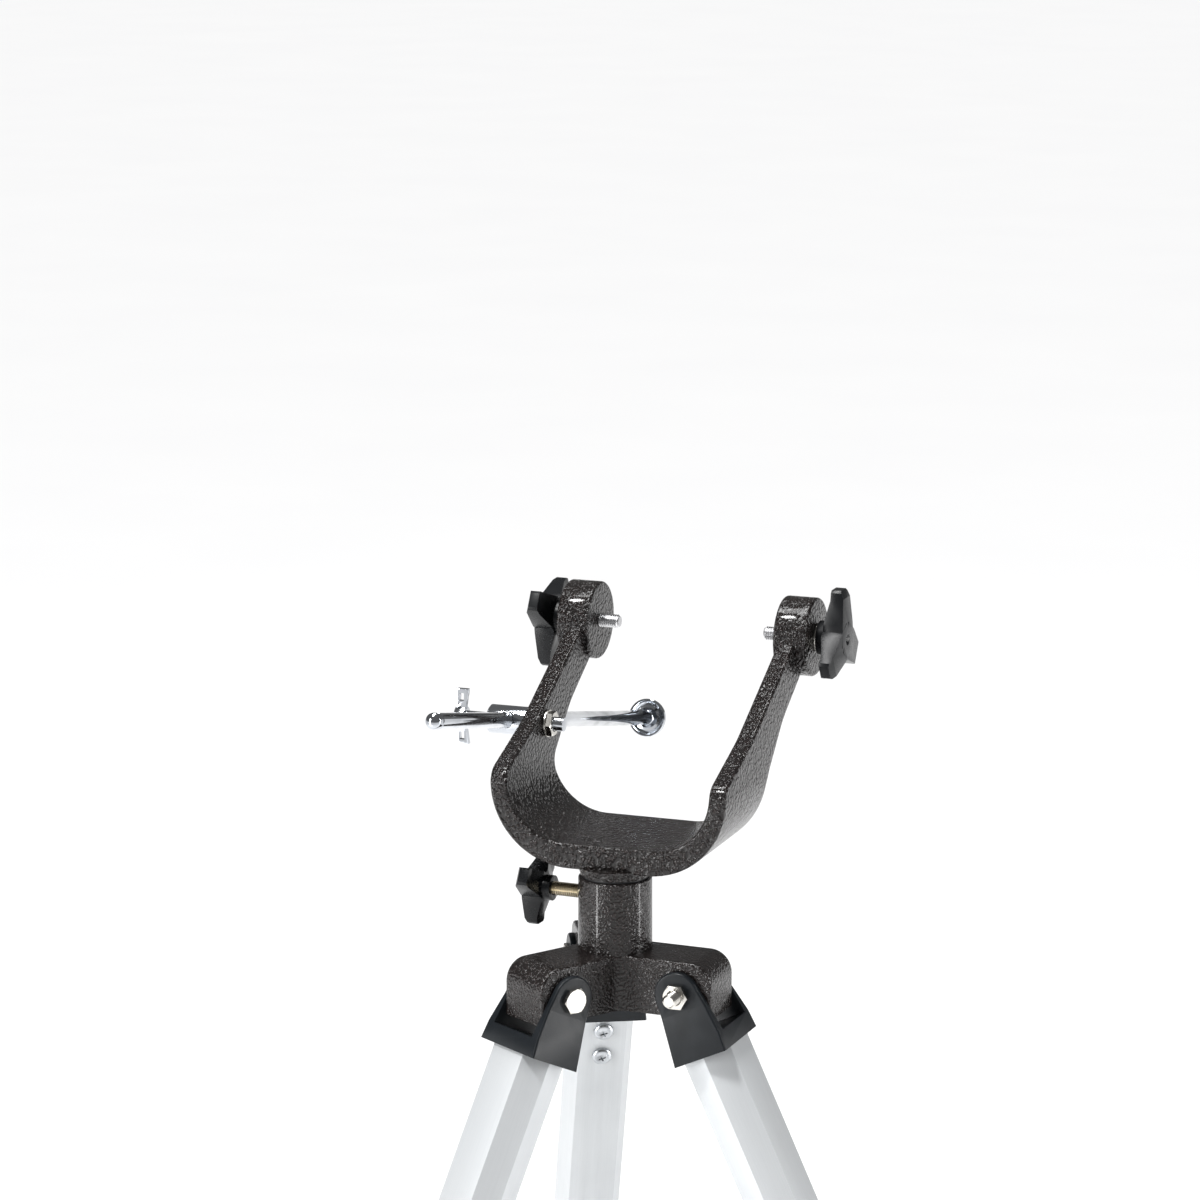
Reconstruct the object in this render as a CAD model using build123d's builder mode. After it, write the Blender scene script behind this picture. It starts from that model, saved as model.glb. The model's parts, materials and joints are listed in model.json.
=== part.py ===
from build123d import *
from math import atan2, cos, degrees, hypot, radians, sin
import os

# Alt-azimuth mount: a raked yoke that turns on a three-legged head, with a rod for slow
# motion in altitude.  The origin is on the floor, on the azimuth axis.  +Z is up, the altitude
# axis runs along X, and -Y is the side that the telescope points to.  Sizes are in millimetres.

os.makedirs("parts", exist_ok=True)

# ---- driving dimensions ----------------------------------------------------------------------
# Legs
LEG_AZIMUTHS = {"left": -122.0, "right": -2.0, "rear": 118.0}
LEG_TILT = 25.0             # away from the vertical when fully spread
FOOT_REACH = 630.0          # hinge bolt to the centre of the foot ball, legs pushed in
FOOT_BALL = 10.0
LEG_DEPTH = 23.0            # hexagonal section: depth, width of the flats and widest width
LEG_FLAT = 20.2
LEG_WIDE = 29.6
LEG_SHELL = 1.4             # wall of the extrusions
LEG_GAP = 0.35              # lower leg inside upper leg, all round
UPPER_LEG_TOP = 21.5        # distances along a leg are taken down from its hinge bolt
UPPER_LEG_END = 556.0
LOWER_LEG_TOP = 124.0
LOWER_LEG_END = 612.0
GUIDE_FLANGE = 6.0
GUIDE_PLUG = 18.0
COLLAR_TOP = 536.0
COLLAR_END = 592.0
COLLAR_WALL = 3.0
LOCK_AT = 574.0
LOCK_BOSS = 6.5             # radius and height of the boss that the lock screw runs in
LOCK_BOSS_HEIGHT = 5.0
SLEEVE_TOP = 595.0
SLEEVE_END = 617.0

# Head and azimuth bearing
HINGE_RADIUS = 34.0         # leg hinge bolts, out from the azimuth axis
HINGE_DROP = 45.0           # and below the top of the pier
PIER_TOP = HINGE_DROP + FOOT_REACH * cos(radians(LEG_TILT)) + FOOT_BALL
PIER_RADIUS = 15.7
PIER_FOOT_RADIUS = 15.9     # the casting draws out a little towards the head
HEAD_TOP = PIER_TOP - 31.0
HEAD_BOTTOM = PIER_TOP - 55.0
HEAD_ARM_REACH = 48.5
HEAD_ARM_WIDTH = 25.6
HEAD_ARM_CORNER = 9.5
HEAD_WEB_CORNER = 7.0
CAST_EDGE = 1.2             # rounding of the cast edges
RUNNING_FIT = 0.05          # radial and end play of everything that turns
SPINDLE_RADIUS = 9.0
SPINDLE_SEAT = 8.0          # depth of the spindle above the top of the pier
BUSH_RADIUS = 11.0
THRUST_RADIUS = 14.4
THRUST_THICKNESS = 0.8
KEEPER_RADIUS = 13.0        # recess under the head for the spindle bolt
KEEPER_RECESS = 8.0
CLAMP_AZIMUTH = 178.0       # opposite the right-hand arm of the head
CLAMP_DROP = 8.7
CLAMP_HUB = 28.3            # hub of the clamp knob, out from the azimuth axis

# Yoke
YOKE_INNER_HALF = 45.1      # between the arms
YOKE_OUTER_HALF = 52.7
YOKE_FLOOR = PIER_TOP + 14.7
YOKE_BASE = PIER_TOP + 3.8
YOKE_INNER_CORNER = 25.6
YOKE_OUTER_CORNER = 35.2
YOKE_FRONT = -10.9
YOKE_REAR = 44.5
ALTITUDE_Y = 97.0
ALTITUDE_Z = PIER_TOP + 87.5
BOSS_RADIUS = 17.2
BOSS_INNER = 42.7           # faces of an altitude boss, out from the middle
BOSS_OUTER = 57.5
NECK_RADIUS = 14.8
NECK_TOP_RADIUS = 16.0
STUD_TIP = 33.7             # the altitude studs stand 9 mm proud of the bosses, inwards

# Slow-motion rod
POST_Y = 36.6
POST_Z = PIER_TOP + 54.0
POST_RADIUS = 6.3
POST_END = 71.2             # outer end of the post, out from the middle
ROD_X = -62.0
ROD_RADIUS = 3.5
ROD_SLOPE = 12.4            # the rod falls towards the rear
ROD_FRONT = 90.0            # length of rod in front of the post
ROD_BACK = 176.0            # and behind it, to the shoulder that carries the cup
CUP_RADIUS = 9.0
TAIL_RADIUS = 2.5
TAIL_LENGTH = 9.0

# Fasteners
M6_RADIUS = 3.0
M6_ACROSS_FLATS = 10.0
M6_NUT_HEIGHT = 5.0
M6_HEAD_HEIGHT = 4.0
M8_RADIUS = 4.0
M8_ACROSS_FLATS = 13.0
M8_HEAD_HEIGHT = 5.3
M8_DEPTH = 20.0
WASHER_THICKNESS = 1.2
WING_THREAD_RADIUS = 2.5
WING_HUB = 82.5             # wing screw hub, out from the middle
WING_HUB_HEIGHT = 4.5
WING_SPAN = 12.2            # tip of a wing, out from the axis of its screw
WING_HUB_RADIUS = 4.2

# Knobs: reach of a lobe, thickness, width of a lobe at its root and tip, depth of the bore
ALTITUDE_KNOB = (22.0, 12.6, 14.5, 8.6, 7.0)
CLAMP_KNOB = (16.0, 12.6, 11.0, 7.4, 7.0)
LOCK_KNOB = (15.0, 10.5, 9.5, 6.6, 6.0)

# Leg brackets
EYE_RADIUS = 10.0
BRACKET_GAP = 13.1          # inner and outer faces of the cheeks, out from the middle
BRACKET_CHEEK = 15.7
BRACKET_FOOT_HALF = 18.6
BRACKET_FLARE = 7.0         # the cheeks flare from here down
BRACKET_INNER = -12.6
BRACKET_OUTER = 12.9
BRACKET_FLOOR = 20.0
BRACKET_END = 28.0
SPIGOT_END = 58.0
BRACKET_SCREWS = (34.0, 48.5)
TAPPING_RADIUS = 2.0
TAPPING_LENGTH = 9.0
TAPPING_HEAD_RADIUS = 4.25
TAPPING_HEAD_HEIGHT = 2.4

# Folding brace
CLIP_AT = 320.0             # along the leg
CLIP_INSET = 19.5           # its pin, inwards from the middle of the leg
CLIP_HALF_HEIGHT = 8.0
CLIP_WALL = 1.0
EAR_INNER = 2.8             # faces of the ears, out from the middle of an arm
EAR_OUTER = 4.8
EAR_RADIUS = 4.8
HUB_PIN_RADIUS = 17.0
HUB_Z = PIER_TOP - 178.0
HUB_RADIUS = 11.0
HUB_HALF_HEIGHT = 5.0
BRACE_PIN = 2.0
PIN_HEAD = 3.2
PIN_HEAD_HEIGHT = 1.1
BRACE_WIDTH = 10.0
BRACE_THICKNESS = 5.0
SLOT_PLAY = 4.2             # free travel in the arm's outer eye, towards the hub
SLOT_RADIUS = 3.0
SLOT_SHIFT = -0.55          # slot below the centre line of the arm


def save(shape, name):
    """Label a finished piece and write it as its own STEP file."""
    shape.label = name
    export_step(shape, f"parts/{name}.step")


def leg_plane(azimuth):
    """Frame of one leg: origin on the hinge bolt, x outwards, y across, z up along the leg."""
    out = Vector(cos(radians(azimuth)), sin(radians(azimuth)), 0)
    tilt = radians(LEG_TILT)
    return Plane(
        origin=out * HINGE_RADIUS + Vector(0, 0, PIER_TOP - HINGE_DROP),
        x_dir=out * cos(tilt) + Vector(0, 0, sin(tilt)),
        z_dir=Vector(0, 0, cos(tilt)) - out * sin(tilt),
    )


def leg_outline(inset=0.0):
    """Corners of the hexagonal leg section, `inset` millimetres smaller all round."""
    half_depth = LEG_DEPTH / 2
    spread = (LEG_WIDE - LEG_FLAT) / 2
    wide = LEG_WIDE / 2 - inset * hypot(half_depth, spread) / half_depth
    depth = half_depth - inset
    flat = wide - depth * spread / half_depth
    return [(depth, flat), (0, wide), (-depth, flat), (-depth, -flat), (0, -wide), (depth, -flat)]


def hex_prism(start, stop, outset, mode=Mode.ADD):
    """Prism of the leg section between two distances down the leg, inside a part block."""
    with BuildSketch(Plane.XY.offset(-stop)) as section:
        with BuildLine():
            Polyline(*leg_outline(-outset), close=True)
        make_face()
    extrude(section.sketch, amount=stop - start, mode=mode)


def across_bar(outline, low, high, mode=Mode.ADD):
    """Bar along y between two distances, from an outline of (x, z) points."""
    with BuildSketch(Plane.XZ.offset(-high)) as section:
        with BuildLine():
            Polyline(*outline, close=True)
        make_face()
    extrude(section.sketch, amount=high - low, mode=mode)


def rod_along(plane, radius, length, mode=Mode.ADD):
    """Cylinder that stands on `plane`, inside a part block."""
    with BuildSketch(plane) as section:
        Circle(radius)
    extrude(section.sketch, amount=length, mode=mode)


# ---- yoke ------------------------------------------------------------------------------------
# One aluminium casting: a flat-based U whose arms lean back to the two altitude bosses.
with BuildPart() as yoke:
    arm_top = ALTITUDE_Z + BOSS_RADIUS
    with BuildSketch(Plane.XZ.offset(-ALTITUDE_Y - BOSS_RADIUS)):
        with BuildLine():
            FilletPolyline(
                (-YOKE_OUTER_HALF, arm_top),
                (-YOKE_OUTER_HALF, YOKE_BASE),
                (YOKE_OUTER_HALF, YOKE_BASE),
                (YOKE_OUTER_HALF, arm_top),
                radius=YOKE_OUTER_CORNER,
            )
            Line((YOKE_OUTER_HALF, arm_top), (-YOKE_OUTER_HALF, arm_top))
        make_face()
        with BuildLine():
            FilletPolyline(
                (-YOKE_INNER_HALF, arm_top),
                (-YOKE_INNER_HALF, YOKE_FLOOR),
                (YOKE_INNER_HALF, YOKE_FLOOR),
                (YOKE_INNER_HALF, arm_top),
                radius=YOKE_INNER_CORNER,
            )
            Line((YOKE_INNER_HALF, arm_top), (-YOKE_INNER_HALF, arm_top))
        make_face(mode=Mode.SUBTRACT)
    extrude(amount=ALTITUDE_Y + 2 * BOSS_RADIUS - YOKE_FRONT)
    with BuildSketch(Plane.YZ.offset(-2 * YOKE_OUTER_HALF)):
        with BuildLine():
            FilletPolyline(
                (YOKE_FRONT, YOKE_BASE - 5),
                (YOKE_FRONT, PIER_TOP + 43.5),
                (25, PIER_TOP + 57.2),
                (80, PIER_TOP + 87.3),
                radius=(8, 60),
            )
            Polyline((80, PIER_TOP + 87.3), (ALTITUDE_Y, ALTITUDE_Z), (93.8, PIER_TOP + 73.8))
            FilletPolyline(
                (93.8, PIER_TOP + 73.8),
                (66, PIER_TOP + 57),
                (YOKE_REAR, PIER_TOP + 35.5),
                (YOKE_REAR, YOKE_BASE - 5),
                radius=(40, 15),
            )
            Line((YOKE_REAR, YOKE_BASE - 5), (YOKE_FRONT, YOKE_BASE - 5))
        make_face()
    extrude(amount=4 * YOKE_OUTER_HALF, mode=Mode.INTERSECT)
    rims = [e for e in yoke.edges() if e.bounding_box().max.Z < ALTITUDE_Z + 0.1]
    tips = [e for e in rims if e.bounding_box().min.Z > PIER_TOP + 73.7]
    fillet([e for e in rims if e not in tips and e.bounding_box().size.length > 7.7], CAST_EDGE)
    for start in (-BOSS_OUTER, BOSS_INNER):
        boss_face = Plane((start, ALTITUDE_Y, ALTITUDE_Z), x_dir=(0, 1, 0), z_dir=(1, 0, 0))
        rod_along(boss_face, BOSS_RADIUS, BOSS_OUTER - BOSS_INNER)
    boss_rims = yoke.edges().filter_by(GeomType.CIRCLE).filter_by(lambda e: e.is_closed)
    fillet(boss_rims.filter_by(lambda e: abs(e.radius - BOSS_RADIUS) < 0.01), CAST_EDGE)
    neck_bottom = PIER_TOP + THRUST_THICKNESS + RUNNING_FIT
    neck_height = YOKE_BASE + 1 - neck_bottom
    with Locations((0, 0, neck_bottom + neck_height / 2)):
        Cone(NECK_RADIUS, NECK_TOP_RADIUS, neck_height)
    seat_height = PIER_TOP + SPINDLE_SEAT - neck_bottom
    rod_along(Plane.XY.offset(neck_bottom), SPINDLE_RADIUS, seat_height, Mode.SUBTRACT)
    stud_hole = Plane((-100, ALTITUDE_Y, ALTITUDE_Z), x_dir=(0, 1, 0), z_dir=(1, 0, 0))
    rod_along(stud_hole, M6_RADIUS + RUNNING_FIT, 200, Mode.SUBTRACT)
    post_hole = Plane((-60, POST_Y, POST_Z), x_dir=(0, 1, 0), z_dir=(1, 0, 0))
    rod_along(post_hole, M6_RADIUS + RUNNING_FIT, 20, Mode.SUBTRACT)
save(yoke.part, "yoke")

# ---- tripod head -----------------------------------------------------------------------------
# Second casting: a hollow pier over three solid arms, one for each leg.
head_azimuths = list(LEG_AZIMUTHS.values())
with BuildPart() as tripod_head:
    with BuildSketch(Plane.XY.offset(HEAD_BOTTOM)) as plan:
        for azimuth in head_azimuths:
            with Locations(Rot(0, 0, azimuth)):
                Rectangle(HEAD_ARM_REACH, HEAD_ARM_WIDTH, align=(Align.MIN, Align.CENTER))
        fillet(plan.vertices().sort_by(lambda v: hypot(v.X, v.Y))[:3], HEAD_WEB_CORNER)
    extrude(amount=HEAD_TOP - HEAD_BOTTOM)
    outer_top = tripod_head.edges().group_by(Axis.Z)[-1]
    outer_top = outer_top.filter_by(lambda e: hypot(e.center().X, e.center().Y) > 47)
    fillet(outer_top, HEAD_ARM_CORNER)
    cast_edges = [e for e in tripod_head.edges() if e.bounding_box().min.Z > HEAD_BOTTOM + 0.1]
    fillet([e for e in cast_edges if hypot(e.center().X, e.center().Y) < 47], CAST_EDGE)
    with Locations((0, 0, (PIER_TOP + HEAD_BOTTOM + 1) / 2)):
        Cone(PIER_FOOT_RADIUS, PIER_RADIUS, PIER_TOP - HEAD_BOTTOM - 1)
    fillet(tripod_head.edges().sort_by(Axis.Z)[-1], 0.8)
    rod_along(Plane.XY.offset(HEAD_BOTTOM), BUSH_RADIUS, 60, Mode.SUBTRACT)
    rod_along(Plane.XY.offset(HEAD_BOTTOM), KEEPER_RADIUS, KEEPER_RECESS, Mode.SUBTRACT)
    for azimuth in head_azimuths:
        bolt_line = Plane(
            origin=leg_plane(azimuth).from_local_coords(Vector(0, -HEAD_ARM_WIDTH, 0)),
            x_dir=leg_plane(azimuth).x_dir,
            z_dir=leg_plane(azimuth).y_dir,
        )
        rod_along(bolt_line, M6_RADIUS + RUNNING_FIT, 2 * HEAD_ARM_WIDTH, Mode.SUBTRACT)
    clamp_out = Vector(cos(radians(CLAMP_AZIMUTH)), sin(radians(CLAMP_AZIMUTH)), 0)
    clamp_line = Plane(
        origin=Vector(0, 0, PIER_TOP - CLAMP_DROP) + clamp_out * SPINDLE_RADIUS,
        x_dir=(0, 0, -1),
        z_dir=clamp_out,
    )
    rod_along(clamp_line, M6_RADIUS + RUNNING_FIT, 2 * PIER_RADIUS, Mode.SUBTRACT)
save(tripod_head.part, "tripod_head")

# Bronze bush pressed into the pier, with a hole for the tip of the clamp screw.
with BuildPart() as azimuth_bush:
    bush_bottom = HEAD_BOTTOM + KEEPER_RECESS
    rod_along(Plane.XY.offset(bush_bottom), BUSH_RADIUS, PIER_TOP - bush_bottom)
    running_radius = SPINDLE_RADIUS + RUNNING_FIT
    rod_along(Plane.XY.offset(HEAD_BOTTOM), running_radius, 60, Mode.SUBTRACT)
    rod_along(clamp_line, M6_RADIUS + 0.3, 2 * PIER_RADIUS, Mode.SUBTRACT)
save(azimuth_bush.part, "azimuth_bush")

# Nylon ring that the neck of the yoke turns on.
with BuildPart() as thrust_washer:
    rod_along(Plane.XY.offset(PIER_TOP), THRUST_RADIUS, THRUST_THICKNESS)
    rod_along(Plane.XY.offset(PIER_TOP), SPINDLE_RADIUS + 0.3, THRUST_THICKNESS, Mode.SUBTRACT)
save(thrust_washer.part, "thrust_washer")

# ---- azimuth spindle and its keeper ----------------------------------------------------------
spindle_bottom = HEAD_BOTTOM + KEEPER_RECESS - RUNNING_FIT
with BuildPart() as azimuth_spindle:
    spindle_length = PIER_TOP + SPINDLE_SEAT - spindle_bottom
    rod_along(Plane.XY.offset(spindle_bottom), SPINDLE_RADIUS, spindle_length)
    chamfer(azimuth_spindle.edges(), 0.5)
    rod_along(Plane.XY.offset(spindle_bottom), M8_RADIUS, M8_DEPTH, Mode.SUBTRACT)
save(azimuth_spindle.part, "azimuth_spindle")

washer_bottom = spindle_bottom - 2.0
with BuildPart() as spindle_washer:
    rod_along(Plane.XY.offset(washer_bottom), 12.0, 2.0)
    rod_along(Plane.XY.offset(washer_bottom), M8_RADIUS, 2.0, Mode.SUBTRACT)
save(spindle_washer.part, "spindle_washer")

with BuildPart() as spindle_bolt:
    with BuildSketch(Plane.XY.offset(washer_bottom - M8_HEAD_HEIGHT)):
        RegularPolygon(M8_ACROSS_FLATS / 2, 6, major_radius=False)
    extrude(amount=M8_HEAD_HEIGHT)
    rod_along(Plane.XY.offset(washer_bottom), M8_RADIUS, M8_DEPTH)
save(spindle_bolt.part, "spindle_bolt")


# ---- clamping knobs --------------------------------------------------------------------------
def clamping_knob(plane, reach, thickness, root_width, tip_width, bore_depth, bore, name):
    """Moulded knob with three tapering lobes.  `plane` lies on its hub face, z outwards."""
    root_thickness = 0.72 * thickness
    tip_thickness = 0.4 * thickness
    hub_radius = 0.34 * reach
    with BuildPart() as lobe:
        with BuildSketch(Plane.XY):
            lobe_points = [
                (-0.12 * reach, -root_width / 2),
                (0.3 * reach, -root_width / 2),
                (reach, -tip_width / 2),
                (reach, tip_width / 2),
                (0.3 * reach, root_width / 2),
                (-0.12 * reach, root_width / 2),
            ]
            with BuildLine():
                Polyline(*lobe_points, close=True)
            make_face()
        extrude(amount=thickness)
        across_bar(
            [
                (-reach, thickness - root_thickness),
                (0.34 * reach, thickness - root_thickness),
                (0.8 * reach, thickness - tip_thickness - 0.12 * thickness),
                (reach, 0.88 * thickness - tip_thickness),
                (reach, 0.82 * thickness),
                (0.84 * reach, 0.94 * thickness),
                (0.2 * reach, thickness),
                (-reach, thickness),
            ],
            -reach,
            reach,
            Mode.INTERSECT,
        )
        chamfer(lobe.edges().group_by(Axis.X)[-1].filter_by(Axis.Z), 0.12 * tip_width)
    with BuildPart() as knob:
        with PolarLocations(0, 3):
            add(lobe.part)
        rod_along(Plane.XY, hub_radius, 0.6 * thickness)
        rod_along(Plane.XY, bore, bore_depth, Mode.SUBTRACT)
        with Locations((0, 0, thickness)):
            Cone(0.5, 2.6, 1.4, align=(Align.CENTER, Align.CENTER, Align.MAX), mode=Mode.SUBTRACT)
    save(plane.location * knob.part, name)


# Each altitude stud is moulded into its knob, runs through the boss and screws into the tube.
for side, name, lobe_up in ((-1, "left", -1), (1, "right", 1)):
    knob_plane = Plane(
        origin=(side * (BOSS_OUTER + 1.5), ALTITUDE_Y, ALTITUDE_Z),
        x_dir=(0, 0, lobe_up),
        z_dir=(side, 0, 0),
    )
    clamping_knob(knob_plane, *ALTITUDE_KNOB, M6_RADIUS, f"altitude_knob_{name}")
    stud_plane = Plane((side * STUD_TIP, ALTITUDE_Y, ALTITUDE_Z), x_dir=(0, 1, 0), z_dir=(side, 0, 0))
    with BuildPart() as stud:
        rod_along(stud_plane, M6_RADIUS, BOSS_OUTER + 1.5 + 7.0 - STUD_TIP)
        chamfer(stud.edges().sort_by(Axis((0, 0, 0), (side, 0, 0)))[0], 0.5)
    save(stud.part, f"altitude_stud_{name}")

with BuildPart() as altitude_washers:
    for start in (-BOSS_OUTER - 1.5 + RUNNING_FIT, BOSS_OUTER):
        washer_face = Plane((start, ALTITUDE_Y, ALTITUDE_Z), x_dir=(0, 1, 0), z_dir=(1, 0, 0))
        rod_along(washer_face, 6.2, 1.5 - RUNNING_FIT)
        rod_along(washer_face, M6_RADIUS + 0.3, 1.5 - RUNNING_FIT, Mode.SUBTRACT)
save(altitude_washers.part, "altitude_washers")

# Azimuth clamp: a brass screw through the pier wall whose tip bears on the spindle.
clamp_tip = clamp_line.offset(0.2)
with BuildPart() as clamp_screw:
    rod_along(clamp_tip, M6_RADIUS, CLAMP_HUB + 7.0 - SPINDLE_RADIUS - 0.2)
    chamfer(clamp_screw.edges().sort_by(Axis((0, 0, 0), clamp_out))[0], 0.6)
save(clamp_screw.part, "clamp_screw")
clamp_hub_face = clamp_line.offset(CLAMP_HUB - SPINDLE_RADIUS)
clamping_knob(clamp_hub_face, *CLAMP_KNOB, M6_RADIUS, "clamp_knob")

# ---- slow-motion rod -------------------------------------------------------------------------
arm_outer = YOKE_OUTER_HALF + RUNNING_FIT
arm_inner = YOKE_INNER_HALF - RUNNING_FIT
rod_direction = Vector(0, cos(radians(ROD_SLOPE)), -sin(radians(ROD_SLOPE)))


def post_plane(x):
    """Plane on the axis of the swivel post, facing outwards from the left arm."""
    return Plane((x, POST_Y, POST_Z), x_dir=(0, 1, 0), z_dir=(-1, 0, 0))


def rod_plane(along):
    """Plane on the axis of the rod, facing down the rod to the rear."""
    return Plane(Vector(ROD_X, POST_Y, POST_Z) + rod_direction * along, (1, 0, 0), rod_direction)


# The post turns in the left arm on its own stud, and the rod slides through it.
with BuildPart() as swivel_post:
    rod_along(post_plane(-arm_outer), POST_RADIUS, POST_END - arm_outer)
    chamfer(swivel_post.edges(), 0.6)
    rod_along(post_plane(-37.0), M6_RADIUS, arm_outer - 37.0)
    rod_along(rod_plane(-20.0), ROD_RADIUS + RUNNING_FIT, 40.0, Mode.SUBTRACT)
    bore_start = post_plane(ROD_X)
    rod_along(bore_start, WING_THREAD_RADIUS + RUNNING_FIT, 20.0, Mode.SUBTRACT)
save(swivel_post.part, "swivel_post")

with BuildPart() as post_washer:
    rod_along(post_plane(-arm_inner + WASHER_THICKNESS), 6.0, WASHER_THICKNESS)
    rod_along(post_plane(-arm_inner + 5.0), M6_RADIUS, 10.0, Mode.SUBTRACT)
save(post_washer.part, "post_washer")

with BuildPart() as post_nut:
    nut_start = post_plane(-arm_inner + WASHER_THICKNESS + M6_NUT_HEIGHT)
    with BuildSketch(nut_start):
        RegularPolygon(M6_ACROSS_FLATS / 2, 6, major_radius=False)
    extrude(amount=M6_NUT_HEIGHT)
    rod_along(nut_start, M6_RADIUS, M6_NUT_HEIGHT, Mode.SUBTRACT)
save(post_nut.part, "post_nut")

# Chromed wing screw: thread, round hub and two wings, each with a window.
with BuildPart() as wing_screw:
    thread_start = -ROD_X + ROD_RADIUS + 0.15
    rod_along(post_plane(-thread_start), WING_THREAD_RADIUS, WING_HUB + 1 - thread_start)
    rod_along(post_plane(-WING_HUB), WING_HUB_RADIUS, WING_HUB_HEIGHT)
    for up in (-1, 1):
        with BuildSketch(Plane.XZ.offset(-POST_Y - 1.1)) as wing:
            with BuildLine():
                Polyline(
                    (-WING_HUB - 0.4, POST_Z + up * 1),
                    (-WING_HUB + 1.2, POST_Z + up * WING_SPAN),
                    (-WING_HUB - 4.4, POST_Z + up * WING_SPAN),
                    (-WING_HUB - 4.0, POST_Z + up * 1),
                    close=True,
                )
            make_face()
            with Locations((-WING_HUB - 1.85, POST_Z + up * 8.6)):
                Rectangle(2.1, 3.4, mode=Mode.SUBTRACT)
        extrude(amount=2.2)
save(wing_screw.part, "wing_screw")

with BuildPart() as altitude_rod:
    rod_along(rod_plane(-ROD_FRONT), ROD_RADIUS, ROD_FRONT + ROD_BACK)
    front_edge = altitude_rod.edges().sort_by(Axis.Y)[0]
    fillet(front_edge, 1.6)
    groove = rod_plane(-ROD_FRONT + 4.6)
    with BuildSketch(groove):
        Circle(ROD_RADIUS + 1)
        Circle(ROD_RADIUS - 0.35, mode=Mode.SUBTRACT)
    extrude(amount=0.8, mode=Mode.SUBTRACT)
    rod_along(rod_plane(ROD_BACK), 2.0, 6.0)
save(altitude_rod.part, "altitude_rod")

# Dished cup that turns on the end of the rod; its threaded tail joins the telescope.
with BuildPart() as rod_end_cup:
    with BuildSketch(Plane.XZ):
        with BuildLine():
            Polyline(
                (0, 0.05),
                (3.6, 0.05),
                (5.2, 3.1),
                (7.4, 2.4),
                (8.0, 1.2),
                (CUP_RADIUS, 1.2),
                (CUP_RADIUS, 3.6),
                (7.0, 5.0),
                (TAIL_RADIUS + 2.0, 6.2),
                (TAIL_RADIUS + 2.0, 8.0),
                (TAIL_RADIUS, 8.0),
                (TAIL_RADIUS, 8.0 + TAIL_LENGTH),
                (0, 8.0 + TAIL_LENGTH),
                close=True,
            )
        make_face()
    revolve(axis=Axis.Z)
    rod_along(Plane.XY, 2.0 + RUNNING_FIT, 6.05, Mode.SUBTRACT)
save(rod_plane(ROD_BACK).location * rod_end_cup.part, "rod_end_cup")

# ---- leg hinges ------------------------------------------------------------------------------
# All leg pieces are drawn once in the frame of a leg: the hinge bolt is its y axis and the
# leg runs down its z axis.
leg_planes = {name: leg_plane(azimuth) for name, azimuth in LEG_AZIMUTHS.items()}
bolt_seat = BRACKET_CHEEK + RUNNING_FIT
bolt_line = Plane.XZ.offset(bolt_seat + M6_NUT_HEIGHT + 1.6)

with BuildPart() as hinge_bolt:
    rod_along(bolt_line, M6_RADIUS, -2 * bolt_seat - M6_NUT_HEIGHT - 1.6)
    with BuildSketch(Plane.XZ.offset(-bolt_seat)):
        RegularPolygon(M6_ACROSS_FLATS / 2, 6, major_radius=False)
    extrude(amount=-M6_HEAD_HEIGHT)
with BuildPart() as leg_hinge_bolts:
    with Locations(*leg_planes.values()):
        add(hinge_bolt.part)
save(leg_hinge_bolts.part, "leg_hinge_bolts")

with BuildPart() as hinge_nut:
    with BuildSketch(Plane.XZ.offset(bolt_seat)):
        RegularPolygon(M6_ACROSS_FLATS / 2, 6, major_radius=False)
        Circle(M6_RADIUS, mode=Mode.SUBTRACT)
    extrude(amount=M6_NUT_HEIGHT)
with BuildPart() as leg_hinge_nuts:
    with Locations(*leg_planes.values()):
        add(hinge_nut.part)
save(leg_hinge_nuts.part, "leg_hinge_nuts")

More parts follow.
